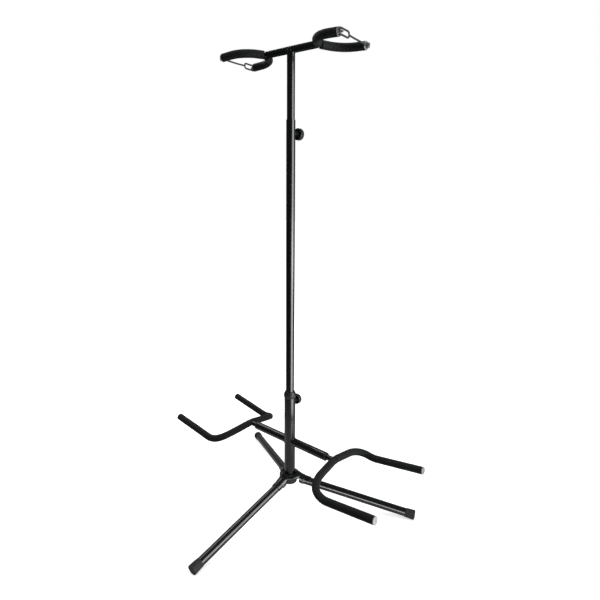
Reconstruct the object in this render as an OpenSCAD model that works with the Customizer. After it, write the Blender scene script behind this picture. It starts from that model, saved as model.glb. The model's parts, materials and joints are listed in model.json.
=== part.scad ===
// Free-standing rack that hangs two guitars back to back.
// Floor is z = 0, the telescopic post stands on the Z axis, and the crossbars run along X.

/* [Post] */
// Outside diameter of the base tube
base_od = 30; // [28:0.5:32]
// Wall of the base tube, the legs and the lower crossbar
heavy_wall = 1.5; // [1.2:0.1:2]
// Height of the base tube's top end
base_top = 325; // [300:1:360]
// Outside diameter of the middle tube
middle_od = 22; // [21:0.5:23]
// Wall of the middle tube, the upper tube and the top crossbar
light_wall = 1.2; // [1:0.1:1.4]
// Height of the middle tube's bottom end
middle_bottom = 215; // [205:1:230]
// Height of the middle tube's top end
middle_top = 1026; // [900:1:1060]
// Outside diameter of the upper tube
upper_od = 19; // [18:0.5:19]
// Length of upper tube that stays inside the middle tube
upper_insert = 250; // [180:1:300]
// Height of the top crossbar's axis
bar_height = 1176; // [1170:1:1220]
// Angle by which the whole upper section is turned on the post
upper_turn = 3; // [-10:0.5:10]

/* [Legs] */
// Outside diameter of a leg tube
leg_od = 22; // [20:0.5:24]
// Distance of a leg's rivet from the post axis
rivet_radius = 40; // [38:0.5:44]
// Height of a leg's rivet
rivet_height = 69.3; // [66:0.1:74]
// Distance of a foot's end from the post axis
foot_radius = 349; // [320:1:380]
// Height of the leg's axis at the foot's end
foot_height = 11.6; // [11.2:0.1:12.4]
// Outside diameter of a rubber foot at its floor end
foot_od = 25.6; // [24.8:0.1:28]
// Outside diameter of a rubber foot at its upper end
foot_neck_od = 23.2; // [23:0.1:25]
// Length of a rubber foot
foot_length = 26; // [22:1:40]

/* [Hub] */
// Thickness of the pressed steel
sheet = 2; // [1.5:0.1:2.5]
// Gap between a leg and its channel
channel_gap = 0.3; // [0.2:0.05:0.5]
// Radius of the hub's round centre
hub_radius = 28; // [27:0.5:30]
// Height of the hub's top face
hub_top = 84.5; // [83:0.1:86]
// Distance from the post axis to the end of a channel
channel_end = 60; // [56:1:64]
// Outside diameter of the plastic core below the hub
core_od = 42; // [38:1:44]
// Height of the core's underside
core_bottom = 60; // [56:1:64]

/* [Guitar cradles] */
// Height of the lower crossbar's axis
cradle_bar_height = 187; // [180:1:200]
// Outside diameter of the lower crossbar
cradle_bar_od = 22; // [20:0.5:24]
// Distance from the post axis to the end of the lower crossbar
cradle_bar_end = 127.7; // [115:0.1:140]
// Diameter of the plug that carries a cradle
plug_od = 14; // [12:0.5:15]
// Diameter of a cradle's steel rod
cradle_rod_od = 10; // [8:0.5:11]
// Diameter of a cradle's foam sleeve
cradle_foam_od = 19.4; // [18:0.2:22]
// Angle by which the left cradle is turned on its plug
left_cradle_roll = 4.2; // [0:0.1:6]

/* [Neck yokes] */
// Outside diameter of the top crossbar
top_bar_od = 16; // [15:0.5:18]
// Diameter of a yoke's steel rod
yoke_rod_od = 9; // [8:0.5:10]
// Diameter of a yoke's foam sleeve
yoke_foam_od = 18.4; // [17:0.2:20]
// Distance from the post axis to the middle of a yoke
yoke_start = 76.4; // [70:0.2:85]
// Distance from the post axis to the tips of a yoke
yoke_tip = 162.8; // [150:0.2:170]
// Half of the distance between a yoke's two arms
yoke_half_width = 55.5; // [50:0.5:60]
// Angle by which a yoke slopes down towards its tips
yoke_droop = 3; // [0:0.5:5]

/* [Clamp knobs] */
// Diameter of a knob
knob_od = 28; // [24:1:32]
// Thickness of a knob
knob_length = 13; // [10:0.5:15]
// Distance from the post axis to a knob's inner face
knob_start = 22.5; // [22:0.1:24]
// Diameter of a clamp screw
screw_od = 6; // [5:0.5:7]
// Height of the lower clamp screw
lower_clamp_height = 302; // [298:1:303]
// Height of the upper clamp screw
upper_clamp_height = 996; // [980:1:1010]

/* [Hidden] */
$fn = 64;

run = 0.05;                  // radial clearance of every running fit
lap = 0.4;                   // how far the pieces of a bent bar run into each other
step = 0.1;                 // how much thinner a bent bar's straight stretches are
big = 60;                    // longer than any local cut

steel_black = [0.03, 0.03, 0.035];
plastic_black = [0.06, 0.06, 0.06];
foam_black = [0.09, 0.09, 0.095];
rubber_black = [0.12, 0.12, 0.12];
cap_grey = [0.72, 0.73, 0.74];
zinc = [0.7, 0.71, 0.73];

base_r = base_od / 2;
base_bore_r = base_r - heavy_wall;
middle_r = middle_od / 2;
middle_bore_r = middle_r - light_wall;
upper_r = upper_od / 2;
upper_bore_r = upper_r - light_wall;
upper_bottom = middle_top - upper_insert;

core_floor = 4;              // thickness of the core's closed bottom
base_bottom = core_bottom + core_floor;
rim_depth = 6.5;             // height of the hub's rim between the channels

leg_r = leg_od / 2;
leg_run = foot_radius - rivet_radius;
leg_drop = rivet_height - foot_height;
leg_slope = atan(leg_drop / leg_run);
leg_length = norm([leg_run, leg_drop]);
leg_angles = [-89.3, 26.4, 150];
foot_floor = 4;              // rubber below the end of the leg tube
channel_r = leg_r + channel_gap;
ear_drop = 3;                // how far a channel's walls reach below the leg's axis
ear_start = 31;              // distance from the post axis where the deep walls begin
root_slope = 20;             // how much steeper a channel's root is than its leg
rivet_r = 3;
rivet_head_r = 5.5;
rivet_head = 2.2;

collar_r = base_r + 2;
collar_height = 10.5;
collar_skirt = 8;            // part of the collar outside the base tube
collar_spigot = 20;          // part of the collar inside the base tube

nut_r = 7;
nut_end = knob_start - 1.5;
screw_r = screw_od / 2;
screw_head_depth = 8;        // length of screw inside the knob
knob_r = knob_od / 2;
knob_skin = 4;               // thickness of the knob's outer face
knob_rim = 2.5;              // thickness of the knob's rim
knob_boss_r = 5.5;
knob_ribs = 6;

guide_length = 25;
glide_length = 12;
glide_spigot = 15;

bar_bore_r = cradle_bar_od / 2 - heavy_wall;
bush_lip = 6;
bush_spigot = 26;
plug_r = plug_od / 2;
plug_insert = 34;            // length of plug inside the crossbar
cradle_rod_r = cradle_rod_od / 2;
cradle_foam_r = cradle_foam_od / 2;
cradle_x = 152.3;            // distance from the post axis to the cradle's back

top_bar_r = top_bar_od / 2;
yoke_rod_r = yoke_rod_od / 2;
yoke_foam_r = yoke_foam_od / 2;
cap_length = 1.5;
cap_gap = 0.05;              // between a cap and the tip it sits on
cap_bore_r = 5;
cap_dish_r = 3;              // shallow dish in the face of a cradle's cap
cap_dish = 0.7;
hinge_boss = 0.5;            // height of a hinge's boss above the ring around it
cradle_foam_gap = 0.4;       // half of the slit between a cradle's two sleeves
yoke_foam_gap = 4;           // half of the gap between a yoke's two sleeves

strap_r = 2;
strap_plane = yoke_tip + cap_length + 4.5;
hinge_pin_r = 2;
hinge_lug_r = 3.6;
hinge_lug = 2;               // thickness of each of a hinge's two lugs
hinge_lug_gap = 6;           // opening between the two lugs
hook_r = 2;
hook_head_r = 3;
eyelet_length = 44;
eyelet_half_height = 6;

// A bent rod runs from one tip through its middle to the other tip, so only the half at +Y is listed
function mirrored_path(half) = concat([for (i = [len(half) - 1:-1:1]) [half[i][0], -half[i][1], half[i][2]]], half);
function mirrored_bends(half) = concat([for (i = [len(half) - 1:-1:1]) half[i]], half);

// Middle, three corners and tip of a cradle's rod
cradle_half = [
  [cradle_x, 0, cradle_bar_height + 2],
  [cradle_x + 4.8, 77.5, cradle_bar_height - 8.7],
  [cradle_x + 19.5, 108.7, cradle_bar_height - 20],
  [cradle_x + 49.4, 113.1, cradle_bar_height - 28.6],
  [cradle_x + 190, 117.4, cradle_bar_height - 7.2]
];
cradle_path = mirrored_path(cradle_half);
cradle_bends = mirrored_bends([95, 72, 36, 50, 0]);

// Middle, corner and tip of a yoke's rod
yoke_angle = 66;             // between the rod's middle stretch and the crossbar
yoke_half = [
  [yoke_start, 0, bar_height],
  [yoke_start + yoke_half_width / tan(yoke_angle), yoke_half_width, bar_height],
  [yoke_tip, yoke_half_width, bar_height]
];
yoke_path = mirrored_path(yoke_half);
yoke_bends = mirrored_bends([18, 60, 0]);

// ---------- bent bars ----------
function unit(v) = v / norm(v);
function side_of(d) = unit(abs(d[2]) < 0.9 ? cross([0, 0, 1], d) : cross([1, 0, 0], d));
function heading(path, i) = unit(path[i + 1] - path[i]);
function turn(path, i) = acos(min(1, heading(path, i - 1) * heading(path, i)));
function has_bend(path, bends, i) = i > 0 && i < len(path) - 1 && bends[i] > 0;
function setback(path, bends, i) = has_bend(path, bends, i) ? bends[i] * tan(turn(path, i) / 2) : 0;

module place(x, y, z, at) {
  multmatrix([[x[0], y[0], z[0], at[0]], [x[1], y[1], z[1], at[1]], [x[2], y[2], z[2], at[2]], [0, 0, 0, 1]])
    children();
}

module ring(outer, inner) {
  difference() {
    circle(r = outer);
    if (inner > 0) circle(r = inner);
  }
}

// A stretch laps into its neighbouring bends by lap and is thinner by step, so no faces coincide
module straight(from, to, outer, inner) {
  d = unit(to - from);
  x = side_of(d);
  place(x, cross(d, x), d, from)
    linear_extrude(height = norm(to - from)) ring(outer - step, inner > 0 ? inner + step : 0);
}

module bend(path, bends, i, outer, inner) {
  before = heading(path, i - 1);
  after = heading(path, i);
  inward = unit(after - before * (after * before));
  start = path[i] - before * setback(path, bends, i);
  place(-inward, before, cross(-inward, before), start + inward * bends[i])
    rotate_extrude(angle = turn(path, i)) translate([bends[i], 0]) ring(outer, inner);
}

// Round bar or sleeve along a path
module bent_bar(path, bends, outer, inner) {
  last = len(path) - 2;
  for (i = [0:last]) {
    from = path[i] + heading(path, i) * max(0, setback(path, bends, i) - lap);
    to = path[i + 1] - heading(path, i) * max(0, setback(path, bends, i + 1) - lap);
    straight(from, to, outer, inner);
  }
  for (i = [1:last]) bend(path, bends, i, outer, inner);
}

module mirrored_y() {
  children();
  mirror([0, 1, 0]) children();
}

// ---------- shared shapes ----------
module tube(outer, wall, bottom, top) {
  translate([0, 0, bottom]) difference() {
    cylinder(r = outer, h = top - bottom);
    translate([0, 0, -1]) cylinder(r = outer - wall, h = top - bottom + 2);
  }
}

module y_rod(radius, from, to, height) {
  translate([0, from, height]) rotate([-90, 0, 0]) cylinder(r = radius, h = to - from);
}

module at_leg(angle) {
  rotate([0, 0, angle]) translate([rivet_radius, 0, rivet_height]) rotate([0, leg_slope, 0]) children();
}

// ---------- base ----------
module base_tube() {
  color(steel_black) difference() {
    tube(base_r, heavy_wall, base_bottom, base_top);
    y_rod(screw_r + 0.2, 0, base_od, lower_clamp_height);
  }
}

module channel_profile(radius, drop) {
  circle(r = radius);
  translate([-radius, -drop]) square([2 * radius, drop]);
}

module channel_block(radius, drop, from, to) {
  translate([from, 0, 0]) rotate([90, 0, 90]) linear_extrude(height = to - from) channel_profile(radius, drop);
}

module hub_blank() {
  reach = channel_end - rivet_radius;
  translate([0, 0, hub_top - rim_depth]) cylinder(r = hub_radius, h = rim_depth);
  for (a = leg_angles) at_leg(a) {
    channel_block(channel_r + sheet, ear_drop, -12, reach);
    translate([-4, 0, 0]) rotate([0, root_slope, 0]) channel_block(channel_r + sheet, ear_drop, -26, 0);
  }
}

module hub_hollow() {
  translate([0, 0, core_bottom]) cylinder(r = hub_radius - sheet, h = hub_top - sheet - core_bottom);
  cylinder(r = ear_start, h = hub_top - rim_depth);
  for (a = leg_angles) at_leg(a) channel_block(channel_r, big, -rivet_radius / 2, big);
}

module hub_spider() {
  color(steel_black) difference() {
    hub_blank();
    hub_hollow();
    cylinder(r = base_r, h = 2 * hub_top);
    for (a = leg_angles) at_leg(a) y_rod(rivet_r, -big / 2, big / 2, 0);
  }
}

module hub_core() {
  color(plastic_black) difference() {
    translate([0, 0, core_bottom]) cylinder(d = core_od, h = hub_top - sheet - core_bottom);
    translate([0, 0, base_bottom]) cylinder(r = base_r, h = big);
  }
}

module rivet_dome() {
  rotate_extrude() intersection() {
    translate([0, rivet_head - rivet_head_r * 1.5]) circle(r = rivet_head_r * 1.5);
    square([rivet_head_r, rivet_head]);
  }
}

module leg_rivets() {
  wall_face = channel_r + sheet;
  color(steel_black) for (a = leg_angles) at_leg(a) {
    y_rod(rivet_r, -wall_face, wall_face, 0);
    translate([0, wall_face, 0]) rotate([-90, 0, 0]) rivet_dome();
    translate([0, -wall_face, 0]) rotate([90, 0, 0]) rivet_dome();
  }
}

module collar_bush() {
  color(plastic_black) translate([0, 0, base_top]) rotate_extrude() polygon([
    [middle_r + run, -collar_spigot], [base_bore_r, -collar_spigot], [base_bore_r, 0], [base_r, 0],
    [base_r, -collar_skirt], [base_r + 0.6, -collar_skirt], [collar_r, -1], [collar_r, 1.5], [collar_r - 1, 3.5],
    [middle_r + 1.5, collar_height], [middle_r + run, collar_height]
  ]);
}

module clamp_nut(tube_radius, height) {
  difference() {
    y_rod(nut_r, tube_radius - 4, nut_end, height);
    translate([0, 0, height - big / 2]) cylinder(r = tube_radius, h = big);
    y_rod(screw_r + run, 0, big, height);
  }
}

module lower_clamp_nut() {
  color(steel_black) clamp_nut(base_r, lower_clamp_height);
}

module upper_clamp_nut() {
  color(steel_black) clamp_nut(middle_r, upper_clamp_height);
}

module crossbar_arm() {
  color(steel_black) difference() {
    translate([0, 0, cradle_bar_height]) rotate([0, 90, 0])
      tube(cradle_bar_od / 2, heavy_wall, base_r - 4, cradle_bar_end - bush_lip);
    translate([0, 0, cradle_bar_height - big / 2]) cylinder(r = base_r, h = big);
  }
}

module cradle_bush() {
  color(plastic_black) translate([0, 0, cradle_bar_height]) rotate([0, 90, 0]) difference() {
    union() {
      translate([0, 0, cradle_bar_end - bush_lip]) cylinder(d = cradle_bar_od, h = bush_lip);
      translate([0, 0, cradle_bar_end - bush_lip - bush_spigot]) cylinder(r = bar_bore_r, h = bush_spigot);
    }
    translate([0, 0, base_r]) cylinder(r = plug_r + run, h = cradle_bar_end);
  }
}

module crossbar_right() { crossbar_arm(); }
module crossbar_left() { rotate([0, 0, 180]) crossbar_arm(); }
module cradle_bush_right() { cradle_bush(); }
module cradle_bush_left() { rotate([0, 0, 180]) cradle_bush(); }

// ---------- legs ----------
module leg_tube(angle) {
  color(steel_black) at_leg(angle) difference() {
    rotate([0, 90, 0]) tube(leg_r, heavy_wall, -leg_r, leg_length - foot_floor);
    difference() {
      translate([-leg_r - 1, -leg_r - 1, -leg_r - 1]) cube([leg_r + 1, leg_od + 2, leg_od + 2]);
      sphere(r = leg_r);
    }
    y_rod(rivet_r + run, -leg_od, leg_od, 0);
  }
}

module leg_foot(angle) {
  color(rubber_black) difference() {
    at_leg(angle) difference() {
      translate([leg_length - foot_length, 0, 0]) rotate([0, 90, 0])
        cylinder(d1 = foot_neck_od, d2 = foot_od, h = foot_length);
      rotate([0, 90, 0]) cylinder(r = leg_r, h = leg_length - foot_floor);
    }
    translate([-2 * foot_radius, -2 * foot_radius, -big]) cube([4 * foot_radius, 4 * foot_radius, big]);
  }
}

module leg_front_tube() { leg_tube(leg_angles[0]); }
module leg_right_tube() { leg_tube(leg_angles[1]); }
module leg_left_tube() { leg_tube(leg_angles[2]); }
module leg_front_foot() { leg_foot(leg_angles[0]); }
module leg_right_foot() { leg_foot(leg_angles[1]); }
module leg_left_foot() { leg_foot(leg_angles[2]); }

// ---------- middle section ----------
module middle_guide() {
  color(plastic_black)
    tube(base_bore_r - run, base_bore_r - middle_r - 2 * run, middle_bottom, middle_bottom + guide_length);
}

module middle_tube() {
  color(steel_black) difference() {
    tube(middle_r, light_wall, middle_bottom, middle_top);
    y_rod(screw_r + 0.2, 0, base_od, upper_clamp_height);
  }
}

// ---------- upper section ----------
module upper_guide() {
  color(plastic_black) translate([0, 0, upper_bottom]) {
    translate([0, 0, -glide_length]) cylinder(r = middle_bore_r - run, h = glide_length);
    cylinder(r = upper_bore_r - run, h = glide_spigot);
  }
}

module turned() {
  rotate([0, 0, upper_turn]) children();
}

module upper_tube() {
  color(steel_black) turned() difference() {
    tube(upper_r, light_wall, upper_bottom, bar_height);
    translate([-big, 0, bar_height]) rotate([0, 90, 0]) cylinder(r = top_bar_r, h = 2 * big);
  }
}

module top_crossbar() {
  half = yoke_start - yoke_rod_r;
  color(steel_black) turned() translate([0, 0, bar_height]) rotate([0, 90, 0])
    tube(top_bar_r, light_wall, -half, half);
}

// Puts a yoke's pieces in place: side 0 is the right yoke and side 180 the left one
module at_yoke(side) {
  turned() rotate([0, 0, side]) translate([yoke_start, 0, bar_height]) rotate([0, yoke_droop, 0])
    translate([-yoke_start, 0, -bar_height]) children();
}

module yoke_rod(side) {
  color(steel_black) at_yoke(side) bent_bar(yoke_path, yoke_bends, yoke_rod_r, 0);
}

// Keeps the half of a bent bar that lies beyond y = gap
module upper_half(gap, height) {
  intersection() {
    children();
    translate([0, gap, height - big]) cube([foot_radius, foot_radius, 2 * big]);
  }
}

module yoke_foam() {
  color(foam_black) difference() {
    upper_half(yoke_foam_gap, bar_height) bent_bar(yoke_path, yoke_bends, yoke_foam_r, yoke_rod_r);
    translate([yoke_start, 0, bar_height]) rotate([0, -90 - yoke_droop, 0])
      cylinder(r = top_bar_r + 0.6, h = yoke_start);
  }
}

module yoke_right_rod() { yoke_rod(0); }
module yoke_left_rod() { yoke_rod(180); }
module yoke_right_foam_a() { at_yoke(0) yoke_foam(); }
module yoke_right_foam_b() { at_yoke(0) mirror([0, 1, 0]) yoke_foam(); }
module yoke_left_foam_a() { at_yoke(180) yoke_foam(); }
module yoke_left_foam_b() { at_yoke(180) mirror([0, 1, 0]) yoke_foam(); }

// Puts a piece on both yokes, at the end of the arm at the given y
module at_tips(y) {
  for (side = [0, 180]) at_yoke(side) translate([yoke_tip + cap_gap, y, bar_height]) children();
}

module x_disc(radius, thickness) {
  rotate([0, 90, 0]) cylinder(r = radius, h = thickness);
}

module yoke_caps() {
  color(cap_grey) for (y = [-yoke_half_width, yoke_half_width]) at_tips(y) difference() {
    x_disc(yoke_foam_r, cap_length);
    translate([-1, 0, 0]) x_disc(cap_bore_r, cap_length + 2);
  }
}

module strap_hooks() {
  head_start = strap_plane - yoke_tip + strap_r + 1;
  color(plastic_black) at_tips(-yoke_half_width) {
    x_disc(cap_bore_r - cap_gap, cap_length);
    x_disc(hook_r, head_start);
    translate([head_start, 0, 0]) x_disc(hook_head_r, 1.5);
  }
}

module strap_hinges() {
  reach = strap_plane - yoke_tip - cap_gap;
  lug_start = cap_length + cap_gap;
  color(plastic_black) at_tips(yoke_half_width) {
    x_disc(cap_bore_r - cap_gap, cap_length + hinge_boss);
    for (z = [-hinge_lug_gap / 2 - hinge_lug, hinge_lug_gap / 2]) translate([0, 0, z]) {
      translate([reach, 0, 0]) cylinder(r = hinge_lug_r, h = hinge_lug);
      translate([lug_start, -hinge_lug_r, 0]) cube([reach - lug_start, 2 * hinge_lug_r, hinge_lug]);
    }
    translate([reach, 0, -hinge_lug_gap / 2 - hinge_lug]) cylinder(r = hinge_pin_r, h = hinge_lug_gap + 2 * hinge_lug);
  }
}

// Rubber strap across a yoke's mouth, with an eye at the hinge and an eyelet over the hook
module strap() {
  hinge_y = yoke_half_width;
  eyelet_far = -yoke_half_width - hook_head_r - 1 - 2 * strap_r;
  eyelet_near = eyelet_far + eyelet_length;
  eye_r = hinge_lug_r - 0.2;
  color(rubber_black) translate([strap_plane, 0, bar_height]) {
    difference() {
      union() {
        translate([0, hinge_y, -hinge_lug_gap / 2 + 0.3]) cylinder(r = eye_r, h = hinge_lug_gap - 0.6);
        translate([0, eyelet_near, 0]) rotate([-90, 0, 0]) cylinder(r = strap_r, h = hinge_y - eyelet_near - 2.5);
      }
      translate([0, hinge_y, -big / 2]) cylinder(r = hinge_pin_r + run, h = big);
    }
    translate([-strap_r, eyelet_far, -eyelet_half_height - strap_r]) difference() {
      cube([2 * strap_r, eyelet_length + strap_r, 2 * (eyelet_half_height + strap_r)]);
      translate([-1, 2 * strap_r, 2 * strap_r])
        cube([4 * strap_r, eyelet_length - 3 * strap_r, 2 * (eyelet_half_height - strap_r)]);
    }
  }
}

module strap_right() { at_yoke(0) strap(); }
module strap_left() { at_yoke(180) strap(); }

// ---------- cradles ----------
module cradle_plug() {
  color(steel_black) translate([cradle_bar_end - plug_insert, 0, cradle_bar_height]) rotate([0, 90, 0])
    cylinder(r = plug_r, h = cradle_x - cradle_rod_r - cradle_bar_end + plug_insert);
}

module cradle_rod() {
  color(steel_black) bent_bar(cradle_path, cradle_bends, cradle_rod_r, 0);
}

module cradle_foam() {
  color(foam_black) difference() {
    upper_half(cradle_foam_gap, cradle_bar_height)
      bent_bar(cradle_path, cradle_bends, cradle_foam_r, cradle_rod_r);
    translate([cradle_bar_end, 0, cradle_bar_height]) rotate([0, 90, 0])
      cylinder(r = plug_r + 0.4, h = cradle_x - cradle_bar_end);
  }
}

module cradle_caps() {
  last = len(cradle_half) - 1;
  d = heading(cradle_half, last - 1);
  x = side_of(d);
  color(cap_grey) mirrored_y() place(d, x, cross(d, x), cradle_half[last] + d * cap_gap) difference() {
    x_disc(cradle_foam_r, cap_length);
    translate([cap_length - cap_dish, 0, 0]) x_disc(cap_dish_r, cap_length);
  }
}

// Puts a cradle's pieces on the left and turns them on the plug
module at_left() {
  rotate([0, 0, 180]) translate([0, 0, cradle_bar_height]) rotate([left_cradle_roll, 0, 0])
    translate([0, 0, -cradle_bar_height]) children();
}

module cradle_right_plug() { cradle_plug(); }
module cradle_left_plug() { at_left() cradle_plug(); }
module cradle_right_rod() { cradle_rod(); }
module cradle_left_rod() { at_left() cradle_rod(); }
module cradle_right_foam_a() { cradle_foam(); }
module cradle_right_foam_b() { mirror([0, 1, 0]) cradle_foam(); }
module cradle_left_foam_a() { at_left() cradle_foam(); }
module cradle_left_foam_b() { at_left() mirror([0, 1, 0]) cradle_foam(); }
module cradle_right_caps() { cradle_caps(); }
module cradle_left_caps() { at_left() cradle_caps(); }

// ---------- clamp knobs ----------
module clamp_screw(tube_radius, height) {
  color(zinc) y_rod(screw_r, tube_radius + 0.1, knob_start + screw_head_depth, height);
}

module clamp_knob(height) {
  cavity = knob_length - knob_skin;
  color(plastic_black) translate([0, knob_start, height]) rotate([-90, 0, 0]) difference() {
    rotate_extrude() polygon([
      [0, 0], [knob_boss_r, 0], [knob_boss_r, cavity], [knob_r - knob_rim, cavity], [knob_r - knob_rim, 1],
      [knob_r - 1, 1], [knob_r, 2], [knob_r, knob_length - 3], [knob_r - 1, knob_length - 1.2],
      [knob_r - 3, knob_length], [0, knob_length]
    ]);
    translate([0, 0, -1]) cylinder(r = screw_r + run, h = screw_head_depth + 1 + run);
  }
  color(plastic_black) translate([0, knob_start, height]) rotate([-90, 0, 0])
    for (i = [0:knob_ribs - 1]) rotate([0, 0, i * 360 / knob_ribs])
      translate([knob_boss_r - 0.5, -0.75, 2]) cube([knob_r - knob_rim - knob_boss_r + 1, 1.5, cavity - 1.5]);
}

module lower_clamp_screw() { clamp_screw(middle_r, lower_clamp_height); }
module lower_clamp_knob() { clamp_knob(lower_clamp_height); }
module upper_clamp_screw() { clamp_screw(upper_r, upper_clamp_height); }
module upper_clamp_knob() { clamp_knob(upper_clamp_height); }

base_tube();
hub_spider();
hub_core();
leg_rivets();
collar_bush();
lower_clamp_nut();
crossbar_right();
crossbar_left();
cradle_bush_right();
cradle_bush_left();
leg_front_tube();
leg_front_foot();
leg_right_tube();
leg_right_foot();
leg_left_tube();
leg_left_foot();
middle_guide();
middle_tube();
upper_clamp_nut();
upper_guide();
upper_tube();
top_crossbar();
yoke_right_rod();
yoke_left_rod();
yoke_right_foam_a();
yoke_right_foam_b();
yoke_left_foam_a();
yoke_left_foam_b();
yoke_caps();
strap_hooks();
strap_hinges();
strap_right();
strap_left();
cradle_right_plug();
cradle_right_rod();
cradle_right_foam_a();
cradle_right_foam_b();
cradle_right_caps();
cradle_left_plug();
cradle_left_rod();
cradle_left_foam_a();
cradle_left_foam_b();
cradle_left_caps();
lower_clamp_screw();
lower_clamp_knob();
upper_clamp_screw();
upper_clamp_knob();
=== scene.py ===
"""Looks of the guitar rack: coatings, foam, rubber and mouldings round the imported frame, in metres."""
import json
import math

import bmesh
import bpy
import numpy as np
from mathutils import Matrix, Vector, noise

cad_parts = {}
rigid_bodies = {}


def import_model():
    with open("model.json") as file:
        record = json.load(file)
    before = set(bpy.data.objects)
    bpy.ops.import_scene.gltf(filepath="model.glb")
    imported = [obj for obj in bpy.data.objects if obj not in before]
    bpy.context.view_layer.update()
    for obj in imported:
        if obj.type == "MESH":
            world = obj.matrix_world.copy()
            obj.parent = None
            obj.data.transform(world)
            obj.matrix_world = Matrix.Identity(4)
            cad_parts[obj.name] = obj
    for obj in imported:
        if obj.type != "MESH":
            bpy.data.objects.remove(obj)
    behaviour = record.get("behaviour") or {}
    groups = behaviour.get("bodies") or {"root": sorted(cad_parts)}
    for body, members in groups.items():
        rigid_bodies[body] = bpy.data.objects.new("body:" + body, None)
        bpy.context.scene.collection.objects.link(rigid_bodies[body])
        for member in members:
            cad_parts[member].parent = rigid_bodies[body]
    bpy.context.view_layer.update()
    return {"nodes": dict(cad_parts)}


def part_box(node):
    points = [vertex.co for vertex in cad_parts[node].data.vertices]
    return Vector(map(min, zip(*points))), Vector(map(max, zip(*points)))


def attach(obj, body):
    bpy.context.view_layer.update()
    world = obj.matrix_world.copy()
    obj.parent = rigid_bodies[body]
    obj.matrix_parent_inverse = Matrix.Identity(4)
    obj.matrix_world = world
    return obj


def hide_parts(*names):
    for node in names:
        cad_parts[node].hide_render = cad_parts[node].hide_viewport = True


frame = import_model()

MM = 0.001
TAU = 2 * math.pi
SIDES = {"right": 0.0, "left": math.pi}


# ---------- what the frame gives ----------
def low_high(node):
    """Lowest and highest corner of a CAD node."""
    low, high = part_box(node)
    return np.array(low), np.array(high)


base_high = low_high("base_tube")[1]
middle_high = low_high("middle_tube")[1]
bar_low, bar_high = low_high("crossbar_right")
plug_high = low_high("cradle_right_plug")[1]
core_low, core_high = low_high("hub_core")

BASE_R = base_high[0]
BASE_TOP = base_high[2]
MIDDLE_R = middle_high[0]
ARM_HEIGHT = (bar_low[2] + bar_high[2]) / 2
ARM_R = bar_high[1]
ARM_END = bar_high[0]
PLUG_R = plug_high[1]

LEG_ANGLES = {"front": -89.3, "right": 26.4, "left": 150}
RIVET_RADIUS = 40 * MM
RIVET_HEIGHT = 69.3 * MM
FOOT_RADIUS = 349 * MM
FOOT_HEIGHT = 11.6 * MM
LEG_SLOPE = math.atan2(RIVET_HEIGHT - FOOT_HEIGHT, FOOT_RADIUS - RIVET_RADIUS)
HUB_PLATE_TOP = 84.5 * MM
UPPER_TURN = math.radians(3)
YOKE_DROOP = math.radians(3)
YOKE_HEIGHT = 1176 * MM
YOKE_START = 76.4 * MM
UPPER_R = 9.5 * MM
TOP_BAR_R = 8 * MM


# ---------- mesh helpers ----------
def unit(v):
    return v / np.linalg.norm(v)


def rounded_line(corners, radii, step):
    """Points about step apart along the line through corners, each inner corner rounded to its radius."""
    corners = [np.array(c, float) for c in corners]
    line = [corners[0]]
    for i in range(1, len(corners) - 1):
        before = unit(corners[i] - corners[i - 1])
        after = unit(corners[i + 1] - corners[i])
        turn = math.acos(max(-1.0, min(1.0, float(before @ after))))
        if radii[i] == 0 or turn < 1e-5:
            line.append(corners[i])
            continue
        inward = unit(after - before * (after @ before))
        start = corners[i] - before * radii[i] * math.tan(turn / 2)
        count = max(3, math.ceil(turn / math.radians(12)), math.ceil(radii[i] * turn / step))
        for angle in np.linspace(0, turn, count + 1):
            sideways, onward = radii[i] * (1 - math.cos(angle)), radii[i] * math.sin(angle)
            line.append(start + inward * sideways + before * onward)
    line.append(corners[-1])
    dense = [line[0]]
    for a, b in zip(line, line[1:]):
        pieces = max(1, math.ceil(np.linalg.norm(b - a) / step - 1e-6))
        dense += [a + (b - a) * k / pieces for k in range(1, pieces + 1)]
    return np.array(dense)


def arc_lengths(points):
    return np.concatenate([[0], np.cumsum(np.linalg.norm(np.diff(points, axis=0), axis=1))])


def side_vectors(points, first):
    """Two side directions at each point of a line, carried along without twist from the direction first."""
    ahead = np.gradient(points, axis=0)
    ahead /= np.linalg.norm(ahead, axis=1)[:, None]
    side = unit(np.array(first, float) - ahead[0] * (ahead[0] @ first))
    sides = []
    for direction in ahead:
        side = unit(side - direction * (side @ direction))
        sides.append(side)
    sides = np.array(sides)
    return sides, np.cross(ahead, sides)


def skin(name, rings, place=None, closed=False, start=None, end=None):
    """Object through rings of points: closed joins its two ends, start and end close it with a point."""
    rings = np.asarray(rings, float)
    count, around = rings.shape[:2]
    points = rings.reshape(-1, 3)
    index = np.arange(count * around).reshape(count, around)
    lower = index if closed else index[:-1]
    upper = np.roll(index, -1, axis=0) if closed else index[1:]
    faces = np.stack([lower, np.roll(lower, -1, axis=1), np.roll(upper, -1, axis=1), upper], axis=-1)
    faces = faces.reshape(-1, 4).tolist()
    for pole, ring in ((start, index[0]), (end, index[-1])):
        if pole is not None:
            centre = len(points)
            points = np.vstack([points, [pole]])
            faces += [(int(a), int(b), centre) for a, b in zip(ring, np.roll(ring, -1))]
    if place is not None:
        matrix = np.array(place)
        points = points @ matrix[:3, :3].T + matrix[:3, 3]
    return mesh_object(name, points.tolist(), faces)


def mesh_object(name, points, faces):
    mesh = bpy.data.meshes.new(name)
    mesh.from_pydata(points, [], faces)
    shaped = bmesh.new()
    shaped.from_mesh(mesh)
    bmesh.ops.recalc_face_normals(shaped, faces=shaped.faces)
    shaped.to_mesh(mesh)
    shaped.free()
    mesh.shade_smooth()
    obj = bpy.data.objects.new(name, mesh)
    bpy.context.scene.collection.objects.link(obj)
    return obj


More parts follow.
